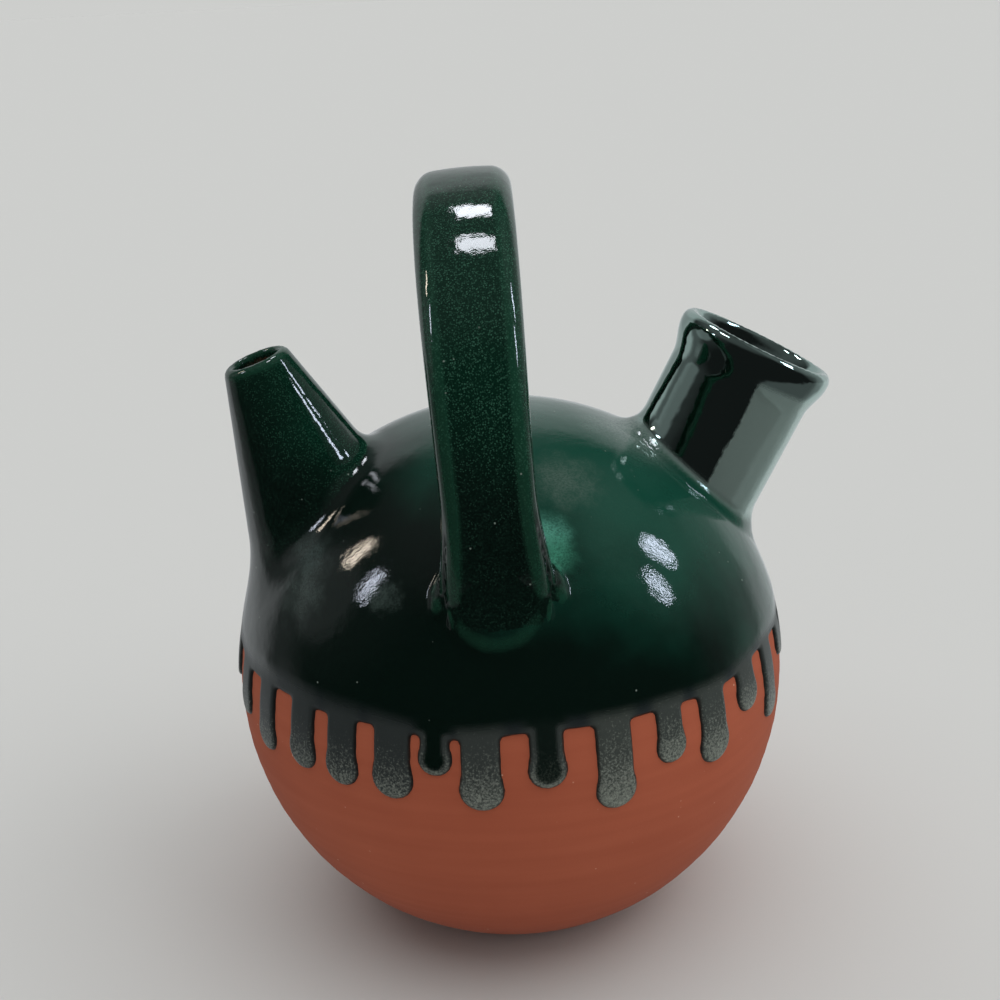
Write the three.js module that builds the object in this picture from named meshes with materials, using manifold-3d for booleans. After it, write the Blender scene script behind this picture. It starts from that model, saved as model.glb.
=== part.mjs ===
// Round-bellied liquor jug of red earthenware: a thrown globe, a slim pouring spout, a wide filling neck
// and a channelled strap handle, luted together and dipped upside down in a green glaze that ran in drips.
// Millimetres, +Z up, origin at the middle of the base. The neck faces +X, the handle's front foot about -Y.
import * as THREE from 'three';
import { mergeVertices } from 'three/addons/utils/BufferGeometryUtils.js';
import Module from 'manifold-3d';

const wasm = await Module();
wasm.setup();

// Globe, thrown hollow and closed at the crown
const BELLY_RADIUS = 62.5;
const BASE_RADIUS = 27.8;
const CROWN_RISE = 61;
const GLOBE_WALL = 5;
const FLOOR_THICKNESS = 6;

// Pouring spout, a cone on the left shoulder: seat and tilt in degrees, length from the seat to the mouth
const SPOUT_SEAT_ANGLE = 48.2;
const SPOUT_TILT = 17.8;
const SPOUT_LENGTH = 32;
const SPOUT_BORE_RADIUS = 4.8;
const SPOUT_RIM_WALL = 1.6;
const SPOUT_RIM_HEIGHT = 2.4;
const SPOUT_TAPER = 16;
const SPOUT_WALL = 4;
const SPOUT_PIERCING_RADIUS = 9;

// Filling neck, a tube with a rolled lip on the right shoulder
const NECK_SEAT_ANGLE = 45.4;
const NECK_TILT = 27.9;
const NECK_LENGTH = 31.9;
const NECK_BORE_RADIUS = 12;
const NECK_WALL = 3.2;
const NECK_LIP_OVERHANG = 1.6;
const NECK_LIP_HEIGHT = 6.4;
const NECK_PIERCING_LEDGE = 1;

// Strap handle, pulled by hand and bent over the crown from front to back, not quite square to the spouts
const HANDLE_TURN_ANGLE = -5;
const FINGER_ROOM = 44;
const HANDLE_SPRING_RISE = 50;
const HANDLE_INSET = 7.5;
const HANDLE_LEAN = 2.6;
const STRAP_CROWN_WIDTH = 18.6;
const STRAP_WAIST_WIDTH = 16.6;
const STRAP_FOOT_WIDTH = 20.6;
const STRAP_THICKNESS = 8;
const STRAP_RIDGE_RADIUS = 3.2;
const STRAP_CHANNEL_DEPTH = 1.4;
const STRAP_INNER_CORNER = 2.6;
const FOOT_RISE = 36;
const FOOT_FLARE_LENGTH = 24;
const FOOT_ROUNDING = 6;

// Soft clay coils pressed round each joint before the firing
const TUBE_COIL_RADIUS = 3;
const FOOT_COIL_RADIUS = 2.2;

// Glaze coat, with the clearance that parts it from the clay in this model
const BOND = 0.3;
const GLAZE_THICKNESS = 0.7;
const GLAZE_MARGIN_RISE = 13.8;
const DRIP_EMBED = 0.15;
const DRIP_SWELL = 0.3;
const DRIP_OVERLAP = 2;
const DRIP_ROOT_FLARE = 1.2;

// Drips of the front half: turn from the handle's foot to the neck in degrees, width, run below the margin
const FRONT_DRIPS = [
  { turn: -82, width: 7.6, run: 9.8 },
  { turn: -69, width: 7.4, run: 12.8 },
  { turn: -57, width: 7.4, run: 15.5 },
  { turn: -44.5, width: 7.9, run: 14.3 },
  { turn: -34.2, width: 8, run: 14.5 },
  { turn: -23.2, width: 8.7, run: 14.8 },
  { turn: -14.8, width: 6.5, run: 8.4 },
  { turn: -6.4, width: 8.6, run: 15.8 },
  { turn: 5.6, width: 7.4, run: 11.4 },
  { turn: 18.2, width: 8.3, run: 18.4 },
  { turn: 30, width: 6.9, run: 11.8 },
  { turn: 40.8, width: 8.4, run: 16.2 },
  { turn: 52.3, width: 7.8, run: 9.7 },
  { turn: 63, width: 6.9, run: 16.9 },
  { turn: 75, width: 7.4, run: 8 },
];
const FLANK_DRIP = { turn: 87, width: 7, run: 12.8 };

// Facets
const GLOBE_SIDES = 36;
const HOLLOW_SIDES = 20;
const TUBE_SIDES = 20;
const ROWS_BELOW_BELLY = 5;
const ROWS_ABOVE_BELLY = 7;
const RIM_STEPS = 3;
const STRAP_STEPS = 22;
const SECTION_STEPS = 2;
const COIL_STEPS = 20;
const COIL_SIDES = 6;
const DRIP_STEPS = 3;
const BISECTIONS = 40;
const WELD = 1e-4;

const EARTHENWARE = { color: '#a95c42', roughness: 0.86, metalness: 0 };
const GREEN_GLAZE = { color: '#14382a', roughness: 0.12, metalness: 0 };

const radians = THREE.MathUtils.degToRad;
const { lerp, smoothstep } = THREE.MathUtils;

// Heights and places that follow from the sizes above
const BELLY_HEIGHT = Math.sqrt(BELLY_RADIUS ** 2 - BASE_RADIUS ** 2);
const GLAZE_OUTSIDE = BOND + GLAZE_THICKNESS;
const GLAZE_MARGIN_HEIGHT = BELLY_HEIGHT + GLAZE_MARGIN_RISE;
const HANDLE_TOP = BELLY_HEIGHT + CROWN_RISE + FINGER_ROOM + STRAP_THICKNESS;
const HANDLE_SPRING_HEIGHT = BELLY_HEIGHT + HANDLE_SPRING_RISE;
const ARCH_SPAN = BELLY_RADIUS - HANDLE_INSET - STRAP_THICKNESS / 2;
const ARCH_RISE = HANDLE_TOP - STRAP_THICKNESS / 2 - HANDLE_SPRING_HEIGHT;
const FOOT_HEIGHT = BELLY_HEIGHT + FOOT_RISE;
const FLARE_TOP = FOOT_HEIGHT + FOOT_FLARE_LENGTH;

// Solids

// A closed geometry as a solid that can be joined and cut
function solidOf(geometry) {
  geometry.deleteAttribute('normal');
  geometry.deleteAttribute('uv');
  const welded = mergeVertices(geometry, WELD);
  const corners = [];
  for (let i = 0; i < welded.index.count; i += 3) {
    const [a, b, c] = [0, 1, 2].map((k) => welded.index.getX(i + k));
    if (a !== b && b !== c && c !== a) corners.push(a, b, c);
  }
  return new wasm.Manifold(new wasm.Mesh({
    numProp: 3,
    vertProperties: new Float32Array(welded.attributes.position.array),
    triVerts: new Uint32Array(corners),
  }));
}

// A solid as a named mesh of the jug
function pieceOf(name, solid, finish) {
  const { vertProperties, triVerts } = solid.getMesh();
  const geometry = new THREE.BufferGeometry();
  geometry.setAttribute('position', new THREE.BufferAttribute(vertProperties, 3));
  geometry.setIndex(new THREE.BufferAttribute(triVerts, 1));
  geometry.computeVertexNormals();
  const mesh = new THREE.Mesh(geometry, new THREE.MeshStandardMaterial(finish));
  mesh.name = name;
  return mesh;
}

// A profile of radius and height, turned about +Z
function turned(profile, sides) {
  return new THREE.LatheGeometry(profile, sides).rotateX(Math.PI / 2);
}

// Every vertex of a geometry moved by a rule
function reshaped(geometry, rule) {
  const points = geometry.attributes.position;
  const point = new THREE.Vector3();
  for (let i = 0; i < points.count; i += 1) {
    const moved = rule(point.fromBufferAttribute(points, i));
    points.setXYZ(i, moved.x, moved.y, moved.z);
  }
  return geometry;
}

// Globe

const riseAbove = (elevation) => (elevation > 0 ? CROWN_RISE : BELLY_RADIUS);

// Point on the globe's skin, grown outwards, at an elevation and a turn from the front
function onGlobe(elevation, turn, grow) {
  const radius = (BELLY_RADIUS + grow) * Math.cos(elevation);
  const height = BELLY_HEIGHT + (riseAbove(elevation) + grow) * Math.sin(elevation);
  return new THREE.Vector3(radius * Math.sin(turn), -radius * Math.cos(turn), height);
}

function elevationAt(height, grow) {
  const rise = height - BELLY_HEIGHT;
  return Math.asin(rise / (riseAbove(rise) + grow));
}

function isInGlobe(point) {
  const rise = point.z - BELLY_HEIGHT;
  const level = rise / riseAbove(rise);
  const out = Math.hypot(point.x, point.y) / BELLY_RADIUS;
  return level * level + out * out < 1;
}

function globeNormal(point) {
  const rise = point.z - BELLY_HEIGHT;
  const across = BELLY_RADIUS * BELLY_RADIUS;
  const up = riseAbove(rise) * riseAbove(rise);
  return new THREE.Vector3(point.x / across, point.y / across, rise / up).normalize();
}

// The globe filled, grown outwards, with a flat floor at a height
function filledGlobe(grow, floorHeight, sides) {
  const lowest = elevationAt(floorHeight, grow);
  const elevations = [];
  for (let row = ROWS_BELOW_BELLY; row > 0; row -= 1) {
    elevations.push((row / ROWS_BELOW_BELLY) * elevationAt(0, 0));
  }
  for (let row = 0; row <= ROWS_ABOVE_BELLY; row += 1) {
    elevations.push((row / ROWS_ABOVE_BELLY) * (Math.PI / 2));
  }
  const profile = [new THREE.Vector2(0, floorHeight)];
  for (const elevation of [lowest, ...elevations.filter((angle) => angle > lowest + WELD)]) {
    const point = onGlobe(elevation, Math.PI / 2, grow);
    profile.push(new THREE.Vector2(point.x, point.z));
  }
  profile[profile.length - 1].x = 0;
  return solidOf(turned(profile, sides));
}

// Spout and neck: turned tubes, each in its own frame with the mouth's middle at the origin.
// A tube's blank runs on below its seat into the globe, and is cut off at the skin.

// Frame of a tube that leaves the globe's skin at a seat and leans sideways, to the left if side is -1
function tubeFrame(side, seat, tilt, length) {
  const lean = side * radians(tilt);
  const axis = new THREE.Vector3(Math.sin(lean), 0, Math.cos(lean));
  const mouth = onGlobe(radians(seat), side * (Math.PI / 2), 0).addScaledVector(axis, length);
  return new THREE.Matrix4().makeRotationY(lean).setPosition(mouth);
}

const blankLength = (length) => length + BELLY_RADIUS / 2;
const spoutRimRadius = SPOUT_BORE_RADIUS + SPOUT_RIM_WALL;
const spoutFootRadius = spoutRimRadius + blankLength(SPOUT_LENGTH) * Math.tan(radians(SPOUT_TAPER));
const neckRadius = NECK_BORE_RADIUS + NECK_WALL;

const spoutTube = {
  frame: tubeFrame(-1, SPOUT_SEAT_ANGLE, SPOUT_TILT, SPOUT_LENGTH),
  bore: SPOUT_BORE_RADIUS,
  rimRadius: spoutRimRadius,
  rimHeight: SPOUT_RIM_HEIGHT,
  wallRadius: spoutRimRadius,
  footRadius: spoutFootRadius,
  footBore: spoutFootRadius - SPOUT_WALL,
  piercing: SPOUT_PIERCING_RADIUS,
  length: blankLength(SPOUT_LENGTH),
};

const neckTube = {
  frame: tubeFrame(1, NECK_SEAT_ANGLE, NECK_TILT, NECK_LENGTH),
  bore: NECK_BORE_RADIUS,
  rimRadius: neckRadius + NECK_LIP_OVERHANG,
  rimHeight: NECK_LIP_HEIGHT,
  wallRadius: neckRadius,
  footRadius: neckRadius,
  footBore: NECK_BORE_RADIUS,
  piercing: NECK_BORE_RADIUS - NECK_PIERCING_LEDGE,
  length: blankLength(NECK_LENGTH),
};

// Outline of a tube's outside, grown outwards: over the rim from its inner edge, then down the wall
function tubeOutline(tube, grow) {
  const halfWidth = (tube.rimRadius - tube.bore) / 2;
  const halfHeight = tube.rimHeight / 2;
  const middle = tube.bore + halfWidth;
  const wallShare = Math.min(1, (tube.wallRadius + grow - middle) / (halfWidth + grow));
  const [start, end] = [Math.PI, -Math.acos(wallShare)];
  const path = new THREE.Path();
  path.absellipse(middle, -halfHeight, halfWidth + grow, halfHeight + grow, start, end, true);
  path.lineTo(tube.footRadius + grow, -tube.length);
  return path.getPoints(RIM_STEPS);
}

// A turned profile set in a tube's frame. Profiles run from the bottom upwards on their outer side.
function inFrame(tube, profile) {
  return solidOf(turned(profile.reverse(), TUBE_SIDES).applyMatrix4(tube.frame));
}

function filledTube(tube, grow) {
  const outline = tubeOutline(tube, grow);
  const top = new THREE.Vector2(0, outline[0].y);
  return inFrame(tube, [top, ...outline, new THREE.Vector2(0, -tube.length)]);
}

function clayTube(tube) {
  const outline = tubeOutline(tube, 0);
  const footInside = new THREE.Vector2(tube.footBore, -tube.length);
  return inFrame(tube, [...outline, footInside, outline[0].clone()]);
}

function glazeSleeve(tube) {
  const outside = tubeOutline(tube, GLAZE_OUTSIDE);
  const inside = tubeOutline(tube, BOND).reverse();
  return inFrame(tube, [...outside, ...inside, outside[0].clone()]);
}

// The round hole that is pierced through the globe's wall under a tube
function piercing(tube) {
  const pin = new THREE.CylinderGeometry(tube.piercing, tube.piercing, tube.length, TUBE_SIDES);
  pin.rotateX(Math.PI / 2).translate(0, 0, -tube.length / 2);
  return solidOf(pin.applyMatrix4(tube.frame));
}

// Handle: a strap section swept over an arch, which is turned and leans a little to the spout's side

const handleFrame = new THREE.Matrix4().makeRotationZ(radians(HANDLE_TURN_ANGLE))
  .multiply(new THREE.Matrix4().makeTranslation(0, 0, BELLY_HEIGHT))
  .multiply(new THREE.Matrix4().makeRotationY(-radians(HANDLE_LEAN)))
  .multiply(new THREE.Matrix4().makeTranslation(0, 0, -BELLY_HEIGHT));
const strapRidgeX = STRAP_CROWN_WIDTH / 2 - STRAP_RIDGE_RADIUS;

// Outline of the strap, grown outwards: thumb channel between two ridges, softer corners underneath
function strapOutline(grow) {
  const half = STRAP_CROWN_WIDTH / 2;
  const top = STRAP_THICKNESS / 2;
  const ridgeY = top - STRAP_RIDGE_RADIUS;
  const cornerX = half - STRAP_INNER_CORNER;
  const cornerY = -top + STRAP_INNER_CORNER;
  const ridge = STRAP_RIDGE_RADIUS + grow;
  const corner = STRAP_INNER_CORNER + grow;
  const quarter = Math.PI / 2;
  const outline = new THREE.Shape();
  outline.absarc(-cornerX, cornerY, corner, -2 * quarter, -quarter, false);
  outline.absarc(cornerX, cornerY, corner, -quarter, 0, false);
  outline.absarc(strapRidgeX, ridgeY, ridge, 0, quarter, false);
  outline.quadraticCurveTo(0, top + grow - 2 * STRAP_CHANNEL_DEPTH, -strapRidgeX, top + grow);
  outline.absarc(-strapRidgeX, ridgeY, ridge, quarter, 2 * quarter, false);
  return outline;
}

// Strap width at a height, as a share of the crown's: narrowest above the feet, spread where it is pressed on
function strapSpread(height, toFoot) {
  const toWaist = 1 - smoothstep(height, FLARE_TOP, HANDLE_TOP);
  const width = lerp(STRAP_CROWN_WIDTH, STRAP_WAIST_WIDTH, toWaist);
  return lerp(width, STRAP_FOOT_WIDTH, toFoot) / STRAP_CROWN_WIDTH;
}

// How far the strap's outer face stands off its section: the channel runs out flat towards the crown,
// and the edges are rounded off towards the feet
function strapRelief(across, height, toFoot) {
  const fromRidge = Math.min(1, Math.abs(across) / strapRidgeX);
  const fromEdge = Math.min(1, (2 * Math.abs(across)) / STRAP_CROWN_WIDTH);
  const toCrown = smoothstep(height, FLARE_TOP, HANDLE_TOP);
  const fill = STRAP_CHANNEL_DEPTH * toCrown * (1 - fromRidge ** 2);
  return fill - FOOT_ROUNDING * toFoot * fromEdge ** 4;
}

// A point of the strap's section carried to its place along the arch, from the back foot to the front.
// The arch runs on into the globe, down to the belly's height, and is cut off at the skin.
function onArch(across, out, along) {
  const sunk = Math.asin(Math.min(1, HANDLE_SPRING_RISE / ARCH_RISE));
  const angle = lerp(-sunk, Math.PI + sunk, along);
  const height = HANDLE_SPRING_HEIGHT + ARCH_RISE * Math.sin(angle);
  const toFoot = 1 - smoothstep(height, FOOT_HEIGHT, FLARE_TOP);
  const relief = strapRelief(across, height, toFoot) * (out / STRAP_THICKNESS + 1 / 2);
  const normal = new THREE.Vector3(0, Math.cos(angle) / ARCH_SPAN, Math.sin(angle) / ARCH_RISE);
  const point = new THREE.Vector3(across * strapSpread(height, toFoot), ARCH_SPAN * Math.cos(angle), height);
  return point.addScaledVector(normal.normalize(), out + relief).applyMatrix4(handleFrame);
}

function swept(section) {
  const options = { depth: 1, steps: STRAP_STEPS, curveSegments: SECTION_STEPS, bevelEnabled: false };
  const strap = new THREE.ExtrudeGeometry(section, options);
  return solidOf(reshaped(strap, (point) => onArch(point.x, point.y, point.z)));
}

// Luting coils: a rolled coil laid along the line where a piece meets the globe

// Where a line of points, running from outside the globe inwards, meets its skin
function meetGlobe(pointAt) {
  let [outside, inside] = [0, 1];
  for (let step = 0; step < BISECTIONS; step += 1) {
    const middle = (outside + inside) / 2;
    if (isInGlobe(pointAt(middle))) inside = middle;
    else outside = middle;
  }
  return pointAt(outside);
}

function coilAlong(jointAt, radius) {
  const ring = Array.from({ length: COIL_STEPS }, (_, i) => jointAt((i / COIL_STEPS) * 2 * Math.PI));
  const middle = ring.reduce((sum, point) => sum.add(point), new THREE.Vector3());
  middle.divideScalar(COIL_STEPS);
  const torus = new THREE.TorusGeometry(2, 1, COIL_SIDES, COIL_STEPS);
  return solidOf(reshaped(torus, (point) => {
    const joint = jointAt(Math.atan2(point.y, point.x));
    const up = globeNormal(joint);
    const away = joint.clone().sub(middle);
    away.addScaledVector(up, -away.dot(up)).normalize();
    const outwards = Math.hypot(point.x, point.y) - 2;
    return joint.addScaledVector(away, radius * outwards).addScaledVector(up, radius * point.z);
  }));
}

function tubeJoint(tube) {
  return (angle) => meetGlobe((depth) => {
    const radius = lerp(tube.wallRadius, tube.footRadius, depth);
    const point = new THREE.Vector3(radius * Math.cos(angle), radius * Math.sin(angle), -depth * tube.length);
    return point.applyMatrix4(tube.frame);
  });
}

// The strap's outline runs one way round at the back foot and the other way at the front
function footJoint(atFront) {
  const outline = strapOutline(0);
  const direction = atFront ? -1 : 1;
  return (angle) => {
    const round = THREE.MathUtils.euclideanModulo((direction * angle) / (2 * Math.PI), 1);
    const edge = outline.getPointAt(round);
    return meetGlobe((down) => onArch(edge.x, edge.y, atFront ? (1 + down) / 2 : (1 - down) / 2));
  };
}

// Drips: tongues of glaze drawn flat and wrapped on the globe

function dripOutline({ width, run }) {
  const half = width / 2;
  const root = half + DRIP_ROOT_FLARE;
  const tipMiddle = half - run;
  const shape = new THREE.Shape();
  shape.moveTo(-root, DRIP_OVERLAP);
  shape.quadraticCurveTo(-half, 0, -half, Math.min(tipMiddle, -DRIP_ROOT_FLARE));
  shape.absarc(0, tipMiddle, half, Math.PI, 2 * Math.PI, false);
  shape.quadraticCurveTo(half, 0, root, DRIP_OVERLAP);
  return shape;
}

function drip(tongue) {
  const depth = GLAZE_THICKNESS - DRIP_EMBED + DRIP_SWELL;
  const options = { depth, curveSegments: DRIP_STEPS, bevelEnabled: false };
  const flat = new THREE.ExtrudeGeometry(dripOutline(tongue), options);
  const margin = elevationAt(GLAZE_MARGIN_HEIGHT, 0);
  return solidOf(reshaped(flat, (point) => {
    const elevation = margin + point.y / BELLY_RADIUS;
    const swing = point.x / (BELLY_RADIUS * Math.cos(elevation));
    const turn = radians(tongue.turn + HANDLE_TURN_ANGLE) + swing;
    return onGlobe(elevation, turn, BOND + DRIP_EMBED + point.z);
  }));
}

// The unseen half repeats the front's drips, turned half-way round, with one more drip on each flank
function allDrips() {
  const halfTurn = ({ turn, width, run }) => ({ turn: turn + 180, width, run });
  const seen = [...FRONT_DRIPS, FLANK_DRIP];
  return [...seen, ...seen.map(halfTurn)];
}

// Assembly

const globeSkin = filledGlobe(0, 0, GLOBE_SIDES);
const globeSeat = filledGlobe(BOND, -BOND, GLOBE_SIDES);
const globeHollow = filledGlobe(-GLOBE_WALL, FLOOR_THICKNESS, HOLLOW_SIDES);
const globe = globeSkin.subtract(globeHollow).subtract(piercing(spoutTube)).subtract(piercing(neckTube));

const strap = swept(strapOutline(0));
const strapRoom = swept(strapOutline(BOND));
const strapShell = swept(strapOutline(GLAZE_OUTSIDE)).subtract(strapRoom);

const spoutRoom = filledTube(spoutTube, BOND);
const neckRoom = filledTube(neckTube, BOND);

const joints = {
  spout: { line: tubeJoint(spoutTube), radius: TUBE_COIL_RADIUS, room: spoutRoom },
  neck: { line: tubeJoint(neckTube), radius: TUBE_COIL_RADIUS, room: neckRoom },
  front: { line: footJoint(true), radius: FOOT_COIL_RADIUS, room: strapRoom },
  back: { line: footJoint(false), radius: FOOT_COIL_RADIUS, room: strapRoom },
};

const coil = ({ line, radius, room }) => coilAlong(line, radius).subtract(globeSeat).subtract(room);
const coilRoom = ({ line, radius }) => coilAlong(line, radius + BOND);
const coilRooms = Object.values(joints).map(coilRoom);

const withoutAll = (solid, cutters) => cutters.reduce((rest, cutter) => rest.subtract(cutter), solid);

const dome = filledGlobe(GLAZE_OUTSIDE, GLAZE_MARGIN_HEIGHT, GLOBE_SIDES).subtract(globeSeat);
const domeRoom = filledGlobe(GLAZE_OUTSIDE + BOND, -BOND, GLOBE_SIDES);
const drippedDome = allDrips().reduce((coat, tongue) => coat.add(drip(tongue)), dome);
const bodyGlaze = withoutAll(drippedDome, [spoutRoom, neckRoom, strapRoom, ...coilRooms]);
const sleeveCutters = [domeRoom, ...coilRooms];

const jug = new THREE.Group();
jug.name = 'liquor_jug';
jug.add(
  pieceOf('globe', globe, EARTHENWARE),
  pieceOf('pouring_spout', clayTube(spoutTube).subtract(globeSeat), EARTHENWARE),
  pieceOf('filling_neck', clayTube(neckTube).subtract(globeSeat), EARTHENWARE),
  pieceOf('strap_handle', strap.subtract(globeSeat), EARTHENWARE),
  pieceOf('spout_luting_coil', coil(joints.spout), GREEN_GLAZE),
  pieceOf('neck_luting_coil', coil(joints.neck), GREEN_GLAZE),
  pieceOf('handle_front_luting', coil(joints.front), GREEN_GLAZE),
  pieceOf('handle_back_luting', coil(joints.back), GREEN_GLAZE),
  pieceOf('body_glaze', bodyGlaze, GREEN_GLAZE),
  pieceOf('spout_glaze', withoutAll(glazeSleeve(spoutTube), sleeveCutters), GREEN_GLAZE),
  pieceOf('neck_glaze', withoutAll(glazeSleeve(neckTube), sleeveCutters), GREEN_GLAZE),
  pieceOf('handle_glaze', withoutAll(strapShell, sleeveCutters), GREEN_GLAZE),
);

export default jug;
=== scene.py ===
"""Looks of a round earthenware liquor jug with a green drip glaze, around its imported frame."""
import math

import bpy
import numpy as np
from mathutils import Matrix, Vector


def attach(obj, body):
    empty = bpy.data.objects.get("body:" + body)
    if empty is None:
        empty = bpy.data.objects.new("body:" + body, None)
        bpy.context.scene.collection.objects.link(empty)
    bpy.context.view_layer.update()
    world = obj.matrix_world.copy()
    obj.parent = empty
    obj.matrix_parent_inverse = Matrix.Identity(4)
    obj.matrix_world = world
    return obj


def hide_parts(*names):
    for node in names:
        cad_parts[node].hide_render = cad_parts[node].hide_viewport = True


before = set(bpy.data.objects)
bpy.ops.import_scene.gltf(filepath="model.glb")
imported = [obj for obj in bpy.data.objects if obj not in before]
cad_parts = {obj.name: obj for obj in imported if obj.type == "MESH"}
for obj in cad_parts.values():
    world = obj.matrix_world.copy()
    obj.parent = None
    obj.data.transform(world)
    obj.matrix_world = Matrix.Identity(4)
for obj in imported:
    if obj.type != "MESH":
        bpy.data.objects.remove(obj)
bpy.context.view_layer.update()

MM = 0.001
TINY = 1e-6

# Camera, fitted to the jug: millimetres, degrees, and a lens on a 36 mm sensor.
# It faces the handle's front foot, so camera and lamps are turned with the handle.
CAMERA_TURN = -5
CAMERA_PLACE = (-0.5, -298.0, 205.6)
CAMERA_PITCH = 20.22
CAMERA_ROLL = -2.98
CAMERA_LENS = 50.4
SENSOR_WIDTH = 36

# The jug's own sizes, in millimetres and degrees
BELLY_RADIUS = 62.5
BASE_RADIUS = 27.8
CROWN_RISE = 61
GLOBE_WALL = 5
FLOOR_THICKNESS = 6
BELLY_HEIGHT = math.sqrt(BELLY_RADIUS ** 2 - BASE_RADIUS ** 2)
BASE_EDGE = 1.6

SPOUT_SEAT = 48.2
SPOUT_TILT = 17.8
SPOUT_LENGTH = 32
SPOUT_BORE_RADIUS = 4.8
SPOUT_RIM_RADIUS = 6.4
SPOUT_TAPER = 16
SPOUT_PIERCING_RADIUS = 9
SPOUT_RIM_ROUND = 1.3
SPOUT_COAT_DEPTH = 2.4
SPOUT_LINING = 0.2
SPOUT_LINING_STEP = 0.4
SPOUT_LINING_DEPTHS = (1.8, 3.6)
SPOUT_CLAY_START = 1.9
SPOUT_CLAY_GAP = 0.3
SPOUT_BORE_TAPER = 0.6

NECK_SEAT = 45.4
NECK_TILT = 27.9
NECK_LENGTH = 31.9
NECK_BORE_RADIUS = 12
NECK_WALL = 3.2
NECK_RADIUS = NECK_BORE_RADIUS + NECK_WALL
NECK_LIP_OVERHANG = 1.7
NECK_LIP_START = 2
NECK_LIP_END = 9.5
NECK_LIP_ROUND = 2.3
NECK_FUNNEL = 3
NECK_FUNNEL_DEPTH = 7
NECK_PIERCING_RADIUS = 11
NECK_COAT_DEPTH = 12
NECK_LINING = 0.3
NECK_LINING_STEP = 0.7
NECK_LINING_DEPTHS = (9, 11)
NECK_CLAY_START = 9.5

# How much sharper the edges inside the mouths of both tubes are
INNER_EDGE = 0.3

# Lustre on the neck, and on its lower side a paler, less metallic grey that is a painted reflection of the
# pale floor: where it starts aside and below the mouth, how torn and soft its edges are, and its share of metal
MIRRORED_FLOOR_EDGE = -1.6
MIRRORED_FLOOR_DEPTH = 5
MIRRORED_FLOOR_RAGS = 3
MIRRORED_FLOOR_TOP_FADE = 1.5
MIRRORED_FLOOR_SIDE_FADE = (1.2, 1.8)
MIRRORED_FLOOR_METAL = 0.62
LUSTRE_FADE = 3

HANDLE_TURN = -5
FINGER_ROOM = 44
STRAP_THICKNESS = 8
HANDLE_TOP = BELLY_HEIGHT + CROWN_RISE + FINGER_ROOM + STRAP_THICKNESS
HANDLE_SPRING_RISE = 50
HANDLE_SPRING_HEIGHT = BELLY_HEIGHT + HANDLE_SPRING_RISE
HANDLE_INSET = 7.5
HANDLE_LEAN = 2.6
ARCH_SPAN = BELLY_RADIUS - HANDLE_INSET - STRAP_THICKNESS / 2
ARCH_RISE = HANDLE_TOP - STRAP_THICKNESS / 2 - HANDLE_SPRING_HEIGHT
STRAP_CROWN_WIDTH = 18.6
STRAP_WAIST_WIDTH = 16.6
STRAP_FOOT_WIDTH = 20.6
STRAP_CORNER = 3
STRAP_CROWN_ROUND = 0.6
STRAP_CHANNEL_TOP = HANDLE_TOP - 14
STRAP_CHANNEL_DEPTH = 1.0
STRAP_CHANNEL_FLOOR = 3
STRAP_CHANNEL_EDGE = 8.6
STRAP_CHANNEL_REACH = (-2, 3)
STRAP_CHANNEL_CLEAR = (-1, 6)
STRAP_ROUND_REACH = (-4, 4)
FOOT_CHANNEL_DEPTH = 1.7
FOOT_HEIGHT = BELLY_HEIGHT + 36
FLARE_TOP = FOOT_HEIGHT + 24
FOOT_ROUND = 4

# Fillets and beads worked into the joints
SPOUT_FILLET = 5
NECK_FRONT_FILLET = 2
NECK_BACK_FILLET = 6
NECK_BEAD = 1.5
FOOT_FILLET = 2.4
FOOT_HOLLOW_FILLET = 7
FOOT_BEAD = 1.7
BEAD_FILLET = 1.2
FOOT_HOLLOW_REACH = (3, 10)
FOOT_BEAD_REACH = (7, 10)
NECK_BACK_REACH = (-13, -4)

# Rim smeared onto the globe round each foot of the strap, a U seen from the front
FOOT_RIM_SHIFT = -0.6
FOOT_RIM_REACH = 7.8
FOOT_RIM_CLIMB = 40
FOOT_RIM_END = 47
FOOT_RIM_FADE = 4
FOOT_RIM_ROUND = 1.8
FOOT_RIM_SUNK = 0.4
FOOT_RIM_FILLET = 2.4

# Glaze coat: thickness over the clay, and how it ends on the globe
COAT = 1.0
GLAZE_IOR = 1.6
# How far clouds shift the glaze's green, which grows with height and towards the lit right side, the latter
# partly painted light
POOL_AND_LIT_CLOUD = 40
STRAP_COAT_DEPTH = 1.5
MARGIN_HEIGHT = BELLY_HEIGHT + 13.8
BAND_TOP = MARGIN_HEIGHT + 5
BAND_BOTTOM = MARGIN_HEIGHT - 20
LIP_THICKNESS = 0.75
LIP_ROUND = 1.2
LIP_SUNK = 1
BAND_SUNK = 0.5
# Waves of the margin: height, count round the globe and start
MARGIN_WAVES = ((0.45, 7, 0.6), (0.3, 13, 2))
DRIP_MERGE = 1.3
DRIP_WAIST = 0.1
DRIP_ROOT = 3
DRIP_FADE_OUT = 2
DRIP_FADE_IN = 1
DRY_START = 0.3
DRY_END = 3.8
DRY_SIDE = 2.5
DRY_SIDE_TURN = (0.3, 0.8)
DRY_ROUGHNESS = 0.42
WET_START = 0.8
WET_END = 1.8

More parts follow.
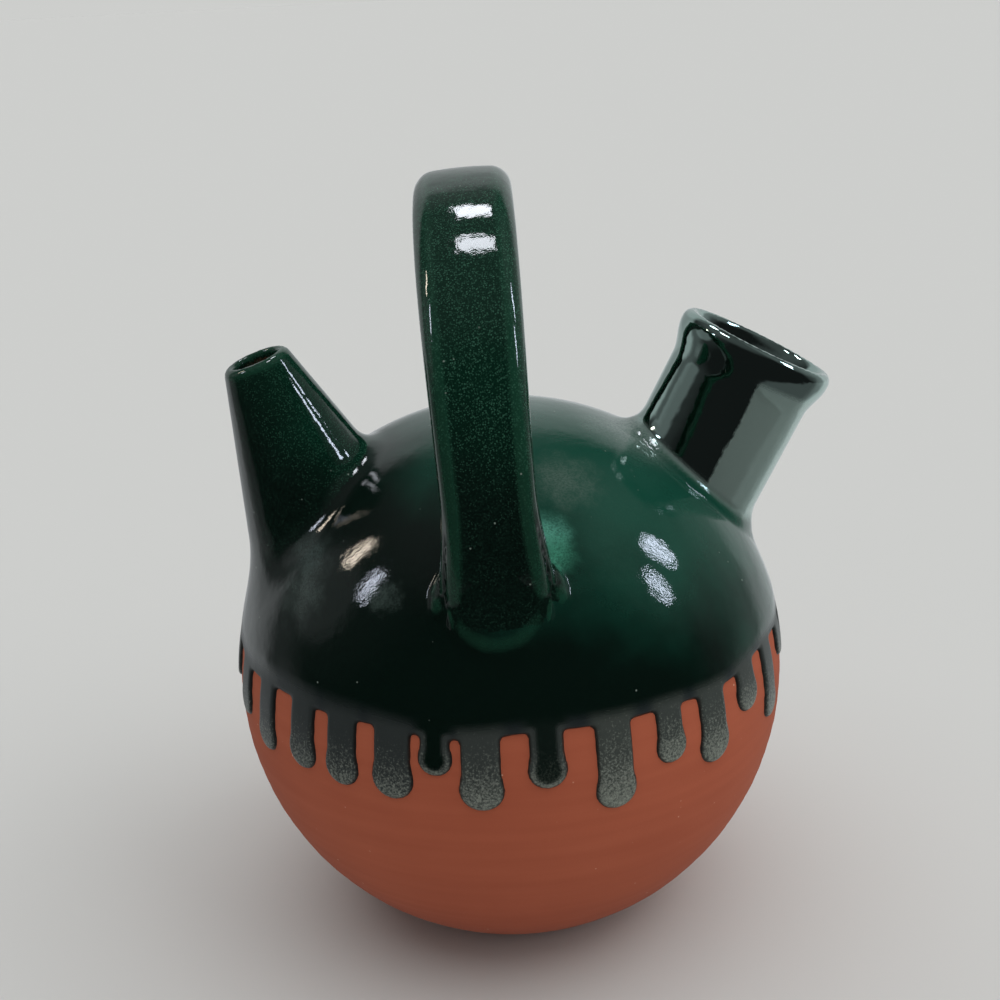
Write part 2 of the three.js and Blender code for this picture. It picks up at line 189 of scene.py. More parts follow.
# Drips of the front half: turn from the handle's foot towards the neck, width, run below the margin,
# ash on the surface, and share of its width that stayed wet and glossy
DRIPS = (
    (-82, 7.6, 9.8, 0.3, 0),
    (-69, 7.4, 12.8, 0.2, 0),
    (-57, 7.4, 15.5, 0.15, 0),
    (-44.5, 7.9, 14.3, 0.2, 0),
    (-34.2, 8, 14.5, 0.25, 0),
    (-23.2, 8.7, 14.8, 0.3, 0),
    (-14.8, 6.5, 8.4, 0.5, 1),
    (-6.4, 8.6, 15.8, 0.65, 0),
    (5.6, 7.4, 11.4, 0.6, 0.9),
    (18.2, 8.3, 18.4, 0.95, 0),
    (30, 6.9, 11.8, 0.8, 0),
    (40.8, 8.4, 16.2, 0.8, 0),
    (52.3, 7.8, 9.7, 0.7, 0),
    (63, 6.9, 16.9, 0.6, 0),
    (75, 7.4, 8, 0.5, 0),
    (87, 7, 12.8, 0.4, 0),
)

# Bands that throwing leaves on the clay: height and size of the fine ones, height and number of the broad ones
FINE_BAND = 0.035
FINE_BAND_SIZE = 0.55
BROAD_BAND = 0.03
BROAD_BANDS = 31

# Fineness of the meshes: steps in millimetres, then counts of segments, rows and rounds
SKIN_STEP = 0.85
STRAP_STEP = 1.2
BAND_STEP = 0.4
SLOPE_STEP = 0.05
BEND_STEP = 0.8
ROUGH_STRIDE = 5
GLOBE_SEGMENTS = 180
HOLLOW_SEGMENTS = 72
PIN_SEGMENTS = 48
TUBE_SPOKES = 72
TUBE_ROWS = 14
GLOBE_ROWS = 150
HOLLOW_ROWS = 40
ARCH_ROUNDS = 5
LAYING_ROUNDS = 3
EVENING_ROUNDS = 4
TUBE_ROUNDS = 30

# Room that the meshing takes: boxes round the coat and the strap, and lengths that reach through the globe
SKIN_LOW = (-74.0, -68.0, BAND_TOP - SKIN_STEP / 2)
SKIN_HIGH = (84.0, 68.0, HANDLE_TOP + 6)
STRAP_LOW = (-22.0, -64.0, FOOT_HEIGHT - 16)
STRAP_HIGH = (22.0, 64.0, HANDLE_TOP + 4)
BORE_SLACK = 0.8
PIN_LENGTH = 60
TUBE_REACH = 80.0
BASE_MIDDLE = 0.6
BASE_LIFT = 0.03
HOLLOW_START = 0.98

# Stage: half the floor's width and its gap below the base in millimetres, the lamps' distance in metres,
# and how light the studio's dark front is
FLOOR_HALF = 30000.0
FLOOR_GAP = 0.2
LAMP_DISTANCE = 1.8
STUDIO_DARK = 0.015


def set_camera():
    pitch, roll = math.radians(CAMERA_PITCH), math.radians(CAMERA_ROLL)
    ahead = Vector((0, math.cos(pitch), -math.sin(pitch)))
    level = Vector((1, 0, 0))
    above = level.cross(ahead)
    right = math.cos(roll) * level + math.sin(roll) * above
    up = math.cos(roll) * above - math.sin(roll) * level
    lens = bpy.data.cameras.new("camera")
    lens.lens = CAMERA_LENS
    lens.sensor_width = SENSOR_WIDTH
    camera = bpy.data.objects.new("camera", lens)
    turn = Matrix((right, up, -ahead)).transposed().to_4x4()
    round_jug = Matrix.Rotation(math.radians(CAMERA_TURN), 4, "Z")
    camera.matrix_world = round_jug @ Matrix.Translation(Vector(CAMERA_PLACE) * MM) @ turn
    bpy.context.scene.collection.objects.link(camera)
    bpy.context.scene.camera = camera


set_camera()


# Forms of the jug, each as a distance from its skin in millimetres, negative inside

def eased(value, low, high):
    share = np.clip((value - low) / (high - low), 0, 1)
    return share * share * (3 - 2 * share)


def pressed_together(a, b, fillet):
    """Two forms joined, with a fillet worked into the joint."""
    overlap = np.maximum(fillet - np.abs(a - b), 0) / fillet
    return np.minimum(a, b) - overlap * overlap * fillet / 4


def rounded_edge(a, b, radius):
    """What lies inside both forms, with the edge between them rounded."""
    outside = np.hypot(np.maximum(a + radius, 0), np.maximum(b + radius, 0))
    return np.minimum(np.maximum(a, b), -radius) + outside


def from_globe(points, grow):
    rise = points[:, 2] - BELLY_HEIGHT
    across = np.hypot(points[:, 0], points[:, 1])
    wide = BELLY_RADIUS + grow
    tall = np.where(rise > 0, CROWN_RISE, BELLY_RADIUS) + grow
    level = np.hypot(across / wide, rise / tall)
    slope = np.hypot(across / wide ** 2, rise / tall ** 2)
    return level * (level - 1) / np.maximum(slope, TINY)


def on_globe(elevation, turn, grow):
    tall = np.where(elevation > 0, CROWN_RISE, BELLY_RADIUS) + grow
    radius = (BELLY_RADIUS + grow) * np.cos(elevation)
    height = BELLY_HEIGHT + tall * np.sin(elevation)
    return np.stack([radius * np.sin(turn), -radius * np.cos(turn), height + 0 * turn], -1)


def elevation_at(height):
    rise = height - BELLY_HEIGHT
    return math.asin(rise / (CROWN_RISE if rise > 0 else BELLY_RADIUS))


def tube_place(side, seat, tilt, length):
    """Middle of a tube's mouth and the way it points, to the left if side is -1."""
    lean = side * math.radians(tilt)
    axis = np.array([math.sin(lean), 0, math.cos(lean)])
    foot = on_globe(np.float64(math.radians(seat)), np.float64(side * math.pi / 2), 0)
    return foot + axis * length, axis


SPOUT_PLACE = tube_place(-1, SPOUT_SEAT, SPOUT_TILT, SPOUT_LENGTH)
NECK_PLACE = tube_place(1, NECK_SEAT, NECK_TILT, NECK_LENGTH)


def in_tube(points, place):
    """Distance from a tube's axis, and depth below its mouth."""
    mouth, axis = place
    offset = points - mouth
    depth = -(offset @ axis)
    return np.sqrt(np.maximum((offset ** 2).sum(-1) - depth ** 2, 0)), depth


def from_spout(points):
    out, depth = in_tube(points, SPOUT_PLACE)
    taper = math.radians(SPOUT_TAPER)
    wall = (out - SPOUT_RIM_RADIUS - COAT - depth * math.tan(taper)) * math.cos(taper)
    bore = SPOUT_BORE_RADIUS + SPOUT_LINING + SPOUT_LINING_STEP * eased(depth, *SPOUT_LINING_DEPTHS)
    closed = rounded_edge(wall, -depth - COAT, SPOUT_RIM_ROUND)
    return rounded_edge(closed, bore - out, SPOUT_RIM_ROUND - INNER_EDGE)


def from_neck(points):
    out, depth = in_tube(points, NECK_PLACE)
    flare = NECK_LIP_OVERHANG * (1 - eased(depth, NECK_LIP_START, NECK_LIP_END))
    wall = out - NECK_RADIUS - COAT - flare
    funnel = NECK_FUNNEL * (1 - eased(depth, 0, NECK_FUNNEL_DEPTH))
    lining = NECK_LINING - NECK_LINING_STEP * eased(depth, *NECK_LINING_DEPTHS)
    bore = NECK_BORE_RADIUS - lining + funnel
    closed = rounded_edge(wall, -depth - COAT, NECK_LIP_ROUND)
    return rounded_edge(closed, bore - out, NECK_LIP_ROUND - INNER_EDGE)


def upright(points):
    """Points with the handle's turn and lean taken out."""
    turn, lean = math.radians(HANDLE_TURN), math.radians(HANDLE_LEAN)
    side = math.cos(turn) * points[:, 0] + math.sin(turn) * points[:, 1]
    y = math.cos(turn) * points[:, 1] - math.sin(turn) * points[:, 0]
    rise = points[:, 2] - BELLY_HEIGHT
    x = math.cos(lean) * side + math.sin(lean) * rise
    z = math.cos(lean) * rise - math.sin(lean) * side + BELLY_HEIGHT
    return x, y, z


def from_strap(points):
    x, y, z = upright(points)
    z = z - HANDLE_SPRING_HEIGHT
    angle = np.arctan2(z / ARCH_RISE, y / ARCH_SPAN)
    angle = np.where(angle < -math.pi / 2, angle + 2 * math.pi, angle)
    sunk = math.asin(HANDLE_SPRING_RISE / ARCH_RISE)
    for _ in range(ARCH_ROUNDS):
        cos, sin = np.cos(angle), np.sin(angle)
        off_y, off_z = ARCH_SPAN * cos - y, ARCH_RISE * sin - z
        along_y, along_z = -ARCH_SPAN * sin, ARCH_RISE * cos
        slope = off_y * along_y + off_z * along_z
        bend = along_y ** 2 + along_z ** 2 - off_y * ARCH_SPAN * cos - off_z * ARCH_RISE * sin
        angle = angle - slope / np.maximum(bend, ARCH_SPAN)
        angle = np.clip(angle, -sunk, math.pi + sunk)
    cos, sin = np.cos(angle), np.sin(angle)
    normal = np.stack([cos / ARCH_SPAN, sin / ARCH_RISE])
    normal /= np.hypot(*normal)
    out = (y - ARCH_SPAN * cos) * normal[0] + (z - ARCH_RISE * sin) * normal[1]
    height = HANDLE_SPRING_HEIGHT + ARCH_RISE * sin
    to_foot = 1 - eased(height, FOOT_HEIGHT, FLARE_TOP)
    to_waist = 1 - eased(height, FLARE_TOP, HANDLE_TOP)
    width = STRAP_CROWN_WIDTH + (STRAP_WAIST_WIDTH - STRAP_CROWN_WIDTH) * to_waist
    width = width + (STRAP_FOOT_WIDTH - width) * to_foot
    across = x * STRAP_CROWN_WIDTH / width
    from_middle = np.minimum(np.abs(2 * across / STRAP_CROWN_WIDTH), 1)
    rounding = FOOT_ROUND * to_foot * (1 - np.sqrt(1 - from_middle ** 2))
    rounding = rounding + STRAP_CROWN_ROUND * (1 - to_waist) * from_middle ** 2
    out = out + rounding * eased(out, *STRAP_ROUND_REACH)
    deep = STRAP_CHANNEL_DEPTH * (1 - eased(height, FLARE_TOP, STRAP_CHANNEL_TOP))
    deep = deep + (FOOT_CHANNEL_DEPTH - STRAP_CHANNEL_DEPTH) * to_foot
    hollow = 1 - eased(np.abs(across), STRAP_CHANNEL_FLOOR, STRAP_CHANNEL_EDGE)
    hollow = hollow * eased(from_globe(points, COAT), *STRAP_CHANNEL_CLEAR)
    out = out + deep * hollow * eased(out, *STRAP_CHANNEL_REACH)
    side = np.abs(across) - STRAP_CROWN_WIDTH / 2 + STRAP_CORNER
    face = np.abs(out) - STRAP_THICKNESS / 2 + STRAP_CORNER
    corner = np.hypot(np.maximum(side, 0), np.maximum(face, 0))
    return corner + np.minimum(np.maximum(side, face), 0) - STRAP_CORNER - COAT


def from_foot_rim(points):
    x, y, z = upright(points)
    climb = np.arctan2(z - BELLY_HEIGHT, np.abs(y)) * BELLY_RADIUS
    off = np.hypot(x - FOOT_RIM_SHIFT, np.minimum(climb - FOOT_RIM_CLIMB, 0)) - FOOT_RIM_REACH
    ended = 2 * FOOT_RIM_ROUND * eased(climb, FOOT_RIM_END - FOOT_RIM_FADE, FOOT_RIM_END)
    return np.hypot(off, from_globe(points, COAT) + FOOT_RIM_SUNK) - FOOT_RIM_ROUND + ended


def from_coat(points):
    """The whole glazed skin: globe, strap, spout and neck, pressed together. A bead runs round the neck's
    joint, and one along each side of the strap's feet."""
    globe, strap, neck = from_globe(points, COAT), from_strap(points), from_neck(points)
    beside = np.abs(upright(points)[0])
    fillet = FOOT_FILLET + (FOOT_HOLLOW_FILLET - FOOT_FILLET) * (1 - eased(beside, *FOOT_HOLLOW_REACH))
    body = pressed_together(globe, strap, fillet)
    body = pressed_together(body, from_foot_rim(points), FOOT_RIM_FILLET)
    beside = eased(beside, *FOOT_BEAD_REACH)
    body = pressed_together(body, np.hypot(globe, strap) - FOOT_BEAD * beside, BEAD_FILLET)
    body = pressed_together(body, from_spout(points), SPOUT_FILLET)
    behind = eased(points[:, 1], *NECK_BACK_REACH)
    fillet = NECK_FRONT_FILLET + (NECK_BACK_FILLET - NECK_FRONT_FILLET) * behind
    body = pressed_together(body, neck, fillet)
    return pressed_together(body, np.hypot(globe, neck) - NECK_BEAD, BEAD_FILLET)


# Meshing of a form

def slope_of(field, points, step):
    sides = np.eye(3) * step
    return np.stack([field(points + s) - field(points - s) for s in sides], 1) / (2 * step)


def bend_of(field, points, step):
    """How sharply a form's skin turns: above zero on a ridge, below zero in a hollow."""
    sides = np.eye(3) * step
    total = sum(field(points + s) + field(points - s) for s in sides)
    return (total - 6 * field(points)) / step ** 2


def laid_on(field, points):
    """Points moved onto a form's skin."""
    for _ in range(LAYING_ROUNDS):
        slope = slope_of(field, points, SLOPE_STEP)
        points = points - slope * (field(points) / (slope ** 2).sum(1))[:, None]
    return points


def skin_of(field, low, high, step):
    """Vertices and quads of a form's skin, one vertex in each grid cell that the skin crosses."""
    size = np.round((high - low) / step).astype(int) + 1
    axes = [low[k] + step * np.arange(size[k]) for k in range(3)]
    rough_axes = [axis[::ROUGH_STRIDE] for axis in axes]
    rough = np.stack(np.meshgrid(*rough_axes, indexing="ij"), -1)
    rough_values = field(rough.reshape(-1, 3)).reshape(rough.shape[:3])
    half = ROUGH_STRIDE // 2
    nearest = [np.minimum((np.arange(n) + half) // ROUGH_STRIDE, len(axis) - 1)
               for n, axis in zip(size, rough_axes)]
    values = rough_values[np.ix_(*nearest)]
    close = np.abs(values) < 2 * ROUGH_STRIDE * step
    places = np.argwhere(close)
    values[close] = field(np.stack([axes[k][places[:, k]] for k in range(3)], 1))
    inside = values < 0
    corners = np.array([(i, j, k) for i in (0, 1) for j in (0, 1) for k in (0, 1)])
    cells_size = size - 1
    count = sum(inside[tuple(slice(c[k], c[k] + cells_size[k]) for k in range(3))].astype(int)
                for c in corners)
    active = (count > 0) & (count < 8)
    cells = np.argwhere(active)
    number = np.full(active.shape, -1)
    number[active] = np.arange(len(cells))
    held = np.stack([values[tuple((cells + c).T)] for c in corners], 1)
    total, hits = np.zeros((len(cells), 3)), np.zeros(len(cells))
    for a in range(8):
        for b in range(a + 1, 8):
            if np.abs(corners[a] - corners[b]).sum() != 1:
                continue
            crossed = (held[:, a] < 0) != (held[:, b] < 0)
            share = np.where(crossed, held[:, a] / (held[:, a] - held[:, b] + (~crossed)), 0)
            point = corners[a] + share[:, None] * (corners[b] - corners[a])
            total += crossed[:, None] * point
            hits += crossed
    vertices = low + step * (cells + total / hits[:, None])
    quads = []
    for axis in range(3):
        first, second = (axis + 1) % 3, (axis + 2) % 3
        start = np.take(inside, range(size[axis] - 1), axis)
        end = np.take(inside, range(1, size[axis]), axis)
        edge = np.argwhere(start != end)
        for side in (first, second):
            edge = edge[(edge[:, side] > 0) & (edge[:, side] < size[side] - 1)]
        around = []
        for back_first, back_second in ((1, 1), (0, 1), (0, 0), (1, 0)):
            cell = edge.copy()
            cell[:, first] -= back_first
            cell[:, second] -= back_second
            around.append(number[tuple(cell.T)])
        quad = np.stack(around, 1)
        turned = ~inside[tuple(edge.T)]
        quad[turned] = quad[turned][:, ::-1]
        quads.append(quad)
    return vertices, np.concatenate(quads)


def edges_of(quads):
    return np.concatenate([np.stack([quads[:, k], quads[:, (k + 1) % 4]], 1) for k in range(4)])


def open_edges(quads):
    """Edges that only one quad uses."""
    edges = edges_of(quads)
    ordered = np.sort(edges, 1)
    _, first, uses = np.unique(ordered, axis=0, return_index=True, return_counts=True)
    return edges[first[uses == 1]]


def evened(field, vertices, quads, fixed, rounds):
    """Vertices spread evenly over the skin."""
    edges = edges_of(quads)
    free = ~fixed
    for _ in range(rounds):
        total, uses = np.zeros_like(vertices), np.zeros(len(vertices))
        for a, b in ((0, 1), (1, 0)):
            np.add.at(total, edges[:, a], vertices[edges[:, b]])
            np.add.at(uses, edges[:, a], 1)
        middle = total / np.maximum(uses, 1)[:, None]
        vertices = np.where(free[:, None], (vertices + middle) / 2, vertices)
        vertices[free] = laid_on(field, vertices[free])
    return vertices


# The glaze coat

def drip_margin(turn, elevation):
    """Distance inside the glaze's outline, and its finish: run to a drip's tip, ash and dryness."""
    margin = elevation_at(MARGIN_HEIGHT)
    up = (elevation - margin) * BELLY_RADIUS
    wave = sum(high * np.sin(count * turn + start) for high, count, start in MARGIN_WAVES)
    outside = wave - up
    tip, ash, wet = np.zeros_like(up), np.zeros_like(up), np.zeros_like(up)
    for half_turn in (0, 180):
        for middle, width, run, grey, gloss in DRIPS:
            swing = turn - math.radians(middle + half_turn + HANDLE_TURN)
            swing = (swing + math.pi) % (2 * math.pi) - math.pi
            across = swing * BELLY_RADIUS * np.cos(elevation)
            radius = width / 2
            end = radius - run
            shaft = np.hypot(across, up - np.clip(up, end, DRIP_ROOT)) - radius * (1 - DRIP_WAIST)
            bulb = np.hypot(across, up - end) - radius
            tongue = pressed_together(shaft, bulb, DRIP_MERGE)
            near = eased(-np.abs(across), -radius - DRIP_FADE_OUT, -radius + DRIP_FADE_IN)
            tip = np.maximum(tip, near * np.clip(-up / run, 0, 1))
            ash = np.maximum(ash, near * grey)
            wet = np.maximum(wet, near * gloss)
            outside = pressed_together(outside, tongue, DRIP_MERGE)
    broad = DRY_SIDE * eased(-np.sin(turn), *DRY_SIDE_TURN)
    dry = 1 - eased(up - wave, DRY_START, DRY_END + broad)
    dry = dry * (1 - wet * eased(-outside, WET_START, WET_END))
    return -outside, tip, ash, dry


def coat_thickness(inside, height):
    """Thickness of the glaze near its margin, running below the clay's skin outside its outline."""
    edge = np.sqrt(1 - (1 - np.clip(inside / LIP_ROUND, 0, 1)) ** 2)
    swell = eased(height, MARGIN_HEIGHT, BAND_TOP)
    full = LIP_THICKNESS + (COAT - LIP_THICKNESS) * swell
    return np.where(inside > 0, full * edge, np.maximum(inside, -LIP_SUNK))


def glaze_band():
    """The lower margin of the coat with its drips, as a grid wrapped round the globe."""
    columns = int(2 * math.pi * BELLY_RADIUS / BAND_STEP)
    rows = int((BAND_TOP - BAND_BOTTOM) / BAND_STEP)
    turn = np.linspace(0, 2 * math.pi, columns, endpoint=False)[None, :]
    heights = np.linspace(BAND_TOP, BAND_BOTTOM, rows + 1)
    elevation = np.array([elevation_at(h) for h in heights])[:, None]
    turn, elevation = np.broadcast_arrays(turn, elevation)

    def surface(turn, elevation):
        inside, *finish = drip_margin(turn, elevation)
        height = BELLY_HEIGHT + CROWN_RISE * np.sin(elevation)
        return on_globe(elevation, turn, coat_thickness(inside, height)), inside, *finish

    points, inside, *finish = surface(turn, elevation)
    small = SLOPE_STEP / BELLY_RADIUS
    by_turn = surface(turn + small, elevation)[0] - surface(turn - small, elevation)[0]
    by_rise = surface(turn, elevation + small)[0] - surface(turn, elevation - small)[0]
    normals = np.cross(by_turn, by_rise)
    normals /= np.linalg.norm(normals, axis=-1, keepdims=True)
    number = np.arange(points.shape[0] * columns).reshape(-1, columns)
    right = np.roll(number, -1, axis=1)
    quads = np.stack([number[1:], right[1:], right[:-1], number[:-1]], -1).reshape(-1, 4)
    shown = (inside.ravel()[quads] > -BAND_SUNK).any(1)
    return points.reshape(-1, 3), quads[shown], normals.reshape(-1, 3), number[0], (inside, *finish)


def zipped(upper, lower, points):
    """Triangles between two rings of vertices that run round the globe at one height."""
    def turns(ring):
        return np.arctan2(points[ring, 0], -points[ring, 1]) % (2 * math.pi)

    upper, lower = (ring[np.argsort(turns(ring))] for ring in (upper, lower))
    high, low = (np.append(turns(ring), turns(ring)[0] + 2 * math.pi) for ring in (upper, lower))
    triangles, i, j = [], 0, 0
    while i < len(upper) or j < len(lower):
        top, bottom = upper[i % len(upper)], lower[j % len(lower)]
        if j == len(lower) or (i < len(upper) and high[i + 1] < low[j + 1]):
            triangles.append((bottom, upper[(i + 1) % len(upper)], top))
            i += 1
        else:
            triangles.append((bottom, lower[(j + 1) % len(lower)], top))
            j += 1
    return triangles


def glaze_skin():
    """The coat above its lower margin: vertices, quads, normals and the ring at its lower edge."""
    vertices, quads = skin_of(from_coat, np.array(SKIN_LOW), np.array(SKIN_HIGH), SKIN_STEP)
    vertices = laid_on(from_coat, vertices)
    rim = np.unique(open_edges(quads))
    fixed = np.zeros(len(vertices), bool)
    fixed[rim] = True
    turn = np.arctan2(vertices[rim, 0], -vertices[rim, 1])
    vertices[rim] = on_globe(np.full(len(rim), elevation_at(BAND_TOP)), turn, COAT)
    vertices = evened(from_coat, vertices, quads, fixed, EVENING_ROUNDS)
    keep = np.ones(len(quads), bool)
    middle = vertices[quads].mean(1)
    for place, bore, deep in (
        (SPOUT_PLACE, SPOUT_BORE_RADIUS, SPOUT_COAT_DEPTH),
        (NECK_PLACE, NECK_BORE_RADIUS, NECK_COAT_DEPTH),
    ):
        out, depth = in_tube(middle, place)
        keep &= ~((out < bore + BORE_SLACK) & (depth > deep))
    quads = quads[keep]
    normals = slope_of(from_coat, vertices, SLOPE_STEP)
    normals /= np.linalg.norm(normals, axis=1, keepdims=True)
    return vertices, quads, normals, rim


def linked_mesh(name, points, faces, normals=None, marks=None):
    """A piece from points in millimetres, with its normals and its marks for the finish."""
    mesh = bpy.data.meshes.new(name)
    mesh.from_pydata((points * MM).tolist(), [], [list(map(int, face)) for face in faces])
    mesh.validate()
    for mark, values in (marks or {}).items():
        layer = mesh.attributes.new(mark, "FLOAT", "POINT")
        layer.data.foreach_set("value", np.asarray(values, np.float32))
    mesh.shade_smooth()
    if normals is not None:
        mesh.normals_split_custom_set_from_vertices(normals.tolist())
    piece = bpy.data.objects.new(name, mesh)
    bpy.context.scene.collection.objects.link(piece)
    return piece


def make_glaze():
    """The coat in four pieces, split along the joints of globe, spout, neck and strap."""
    skin, skin_quads, skin_normals, skin_ring = glaze_skin()
    band, band_quads, band_normals, band_ring, band_marks = glaze_band()
    start = len(skin)
    points = np.concatenate([skin, band])
    normals = np.concatenate([skin_normals, band_normals])
    bend = np.concatenate([bend_of(from_coat, skin, BEND_STEP), np.full(len(band), 2 / BELLY_RADIUS)])
    lustre = eased(from_globe(points, COAT) - from_neck(points), 0, LUSTRE_FADE)
    marks = {"bend": bend, "lustre": lustre}
    for mark, fill, values in zip(("inside", "tip", "ash", "dry"), (99, 0, 0, 0), band_marks):
        marks[mark] = np.concatenate([np.full(start, fill), values.ravel()])
    forms = (lambda p: from_globe(p, COAT), from_spout, from_neck, from_strap)
    middle = skin[skin_quads].mean(1)
    nearest = np.argmin([form(middle) for form in forms], 0)
    pieces = []
    for number, name in enumerate(("body_coat", "spout_coat", "neck_coat", "handle_coat")):
        faces = skin_quads[nearest == number].tolist()
        if number == 0:
            faces += (band_quads + start).tolist()
            faces += zipped(skin_ring, band_ring + start, points)
        used = np.unique(np.concatenate([np.array(face) for face in faces]))
        place = np.full(len(points), -1)
        place[used] = np.arange(len(used))
        faces = [place[list(face)] for face in faces]
        piece = linked_mesh(name, points[used], faces, normals[used],
                            {mark: values[used] for mark, values in marks.items()})
        pieces.append(piece)
    return pieces


# The clay

def turned(profile, segments):
    """A profile of radius and height turned about the upright axis, closed where it meets the axis."""
    angles = np.linspace(0, 2 * math.pi, segments, endpoint=False)
    points, rings = [], []
    for radius, height in profile:
        if radius < TINY:
            rings.append(np.full(segments, len(points)))
            points.append((0, 0, height))
        else:
            rings.append(len(points) + np.arange(segments))
            points.extend((radius * math.cos(a), radius * math.sin(a), height) for a in angles)
    faces = []
    for lower, upper in zip(rings, rings[1:]):
        for a, b, c, d in zip(lower, np.roll(lower, -1), np.roll(upper, -1), upper):
            face = list(dict.fromkeys((a, b, c, d)))
            if len(face) > 2:
                faces.append(face)
    return np.array(points, float), faces


def globe_profile():
    """Outside of the globe from the base to the crown, with the faint bands that throwing leaves."""
    base_turn = elevation_at(0)
    profile = [(0, 0), (BASE_RADIUS * BASE_MIDDLE, 0), (BASE_RADIUS - BASE_EDGE, 0)]
    elevations = np.linspace(base_turn + BASE_LIFT, math.pi / 2, GLOBE_ROWS)
    for elevation in elevations:
        band = FINE_BAND * math.sin(elevation * BELLY_RADIUS / FINE_BAND_SIZE)
        band += BROAD_BAND * math.sin(elevation * BROAD_BANDS)
        grow = band if elevation < elevation_at(BAND_TOP) else 0
        point = on_globe(np.float64(elevation), np.float64(math.pi / 2), grow)
        profile.append((point[0] if elevation < math.pi / 2 else 0, point[2]))
    return profile


def hollow_profile():
    floor = elevation_at(FLOOR_THICKNESS)
    profile = [(0, FLOOR_THICKNESS)]
    for elevation in np.linspace(floor * HOLLOW_START, math.pi / 2, HOLLOW_ROWS):
        point = on_globe(np.float64(elevation), np.float64(math.pi / 2), -GLOBE_WALL)
        profile.append((point[0] if elevation < math.pi / 2 else 0, max(point[2], FLOOR_THICKNESS)))
    return profile[::-1]


def make_globe():
    outside, outside_faces = turned(globe_profile(), GLOBE_SEGMENTS)
    hollow, hollow_faces = turned(hollow_profile(), HOLLOW_SEGMENTS)
    shift = len(outside)
    faces = outside_faces + [[corner + shift for corner in face] for face in hollow_faces]
    globe = linked_mesh("clay_globe", np.concatenate([outside, hollow]), faces)
    for place, radius in ((SPOUT_PLACE, SPOUT_PIERCING_RADIUS), (NECK_PLACE, NECK_PIERCING_RADIUS)):
        mouth, axis = place
        profile = [(0, -PIN_LENGTH), (radius, -PIN_LENGTH), (radius, 0), (0, 0)]
        points, pin_faces = turned(profile, PIN_SEGMENTS)
        turn = Vector((0, 0, 1)).rotation_difference(Vector(axis)).to_matrix()
        pin = linked_mesh("pin", points @ np.array(turn).T + mouth, pin_faces)
        cut = globe.modifiers.new("piercing", "BOOLEAN")
        cut.operation, cut.object, cut.solver = "DIFFERENCE", pin, "EXACT"
        held = bpy.context.evaluated_depsgraph_get()
        pierced = bpy.data.meshes.new_from_object(globe.evaluated_get(held))
        globe.modifiers.clear()
        globe.data = pierced
        bpy.data.objects.remove(pin)
    return globe


def make_tube(name, place, start, bore, wall):
    """A clay tube inside its coat, from a depth below the mouth down into the globe's wall."""
    mouth, axis = place
    side = np.array([0.0, 1.0, 0.0])
    other = np.cross(side, axis)
    angles = np.linspace(0, 2 * math.pi, TUBE_SPOKES, endpoint=False)
    spokes = np.cos(angles)[:, None] * other + np.sin(angles)[:, None] * side

    def along(radius_at, share):
        near, far = np.zeros(len(angles)), np.full(len(angles), TUBE_REACH)
        for _ in range(TUBE_ROUNDS):
            depth = (near + far) / 2
            points = mouth - depth[:, None] * axis + radius_at(depth)[:, None] * spokes
            sunk = from_globe(points, -GLOBE_WALL / 2) < 0
            far, near = np.where(sunk, depth, far), np.where(sunk, near, depth)
        depth = start + (near - start) * share
        return mouth - depth[:, None] * axis + radius_at(depth)[:, None] * spokes

    shares = np.linspace(0, 1, TUBE_ROWS)
    rings = [along(bore, share) for share in shares] + [along(wall, share) for share in shares[::-1]]
    number = np.arange(len(rings) * len(angles)).reshape(len(rings), -1)
    faces = []
    for lower, upper in zip(number, np.roll(number, -1, axis=0)):
        faces += np.stack([lower, np.roll(lower, -1), np.roll(upper, -1), upper], 1).tolist()
    return linked_mesh(name, np.concatenate(rings), faces)


def spout_bore(depth):
    return SPOUT_BORE_RADIUS + depth * math.tan(math.radians(SPOUT_TAPER)) * SPOUT_BORE_TAPER


def spout_wall(depth):
    return SPOUT_RIM_RADIUS - SPOUT_CLAY_GAP + depth * math.tan(math.radians(SPOUT_TAPER))


def neck_bore(depth):
    return NECK_BORE_RADIUS + 0 * depth


def neck_wall(depth):
    return NECK_RADIUS + 0 * depth


def make_strap():
    """The clay strap inside its coat, down into the globe's wall."""
    def from_clay(points):
        return np.maximum(from_strap(points) + STRAP_COAT_DEPTH, -from_globe(points, -GLOBE_WALL / 2))

    skin = skin_of(from_clay, np.array(STRAP_LOW), np.array(STRAP_HIGH), STRAP_STEP)
    return linked_mesh("clay_strap", *skin)


# Finishes

def linear(hex_colour):
    """An sRGB hex colour as linear light."""
    parts = [int(hex_colour[k:k + 2], 16) / 255 for k in (1, 3, 5)]
    return (*[p / 12.92 if p <= 0.04045 else ((p + 0.055) / 1.055) ** 2.4 for p in parts], 1)


def per_mm(size):
    """Texture scale that gives a pattern of that size in millimetres."""
    return 1 / (size * MM)


def add(tree, kind, settings=None, links=None):
    """A node with its settings, and its inputs set or linked by name or number."""
    node = tree.nodes.new(kind)
    for name, value in (settings or {}).items():
        setattr(node, name, value)
    for name, value in (links or {}).items():
        socket = node.inputs[name]
        if isinstance(value, bpy.types.NodeSocket):
            tree.links.new(value, socket)
        else:
            socket.default_value = value
    return node


def new_finish(name):
    finish = bpy.data.materials.new(name)
    finish.use_nodes = True
    finish.node_tree.nodes.clear()
    return finish, finish.node_tree


